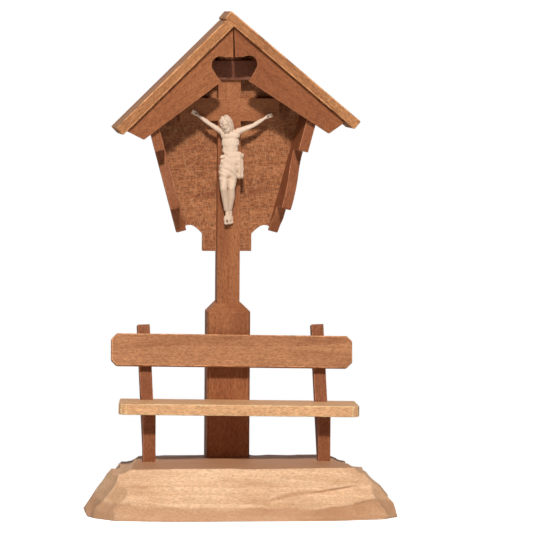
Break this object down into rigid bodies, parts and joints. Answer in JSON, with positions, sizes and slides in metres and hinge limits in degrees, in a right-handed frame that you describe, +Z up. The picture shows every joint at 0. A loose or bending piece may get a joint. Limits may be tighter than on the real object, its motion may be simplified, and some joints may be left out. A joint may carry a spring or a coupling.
{
  "type": "wayside cross model",
  "caption": "Carved wooden tabletop wayside cross under a small gabled roof, with a leaning-back bench on a rough-carved plinth",
  "frame": {"origin": "middle of the plinth underside", "axes": "+Z up; the front with the figure faces -Y; +X is to the right seen from the front"},
  "size_m": [0.152, 0.088, 0.2472],
  "materials": {
    "plinth_wood": "carved, light oiled wood with gouge marks",
    "stained_wood": "brown stained wood, matt, edges worn lighter",
    "title_wood": "brown stained wood, lighter lower edge",
    "panel_wood": "brown stained wood, grain across",
    "roof_wood": "brown stained wood, worn edges",
    "bench_wood": "honey brown wood, lighter end and front edges",
    "pale_wood": "natural pale carving wood, smooth",
    "nail_steel": "small dull nails"
  },
  "bodies": {
    "root": {"plinth": "plinth_wood", "post_base": "stained_wood", "cross_post": "stained_wood", "cross_beam": "stained_wood", "title_board": "title_wood", "back_panel": "panel_wood", "left_side_board": "stained_wood", "right_side_board": "stained_wood", "left_roof_board": "roof_wood", "right_roof_board": "roof_wood", "left_gable_board": "stained_wood", "right_gable_board": "stained_wood", "bench_seat": "bench_wood", "bench_backrest": "bench_wood", "left_front_leg": "bench_wood", "right_front_leg": "bench_wood", "left_bench_upright": "bench_wood", "right_bench_upright": "bench_wood", "corpus_body": "pale_wood", "corpus_left_arm": "pale_wood", "corpus_right_arm": "pale_wood", "left_hand_nail": "nail_steel", "right_hand_nail": "nail_steel", "foot_nail": "nail_steel"}
  },
  "joints": []
}
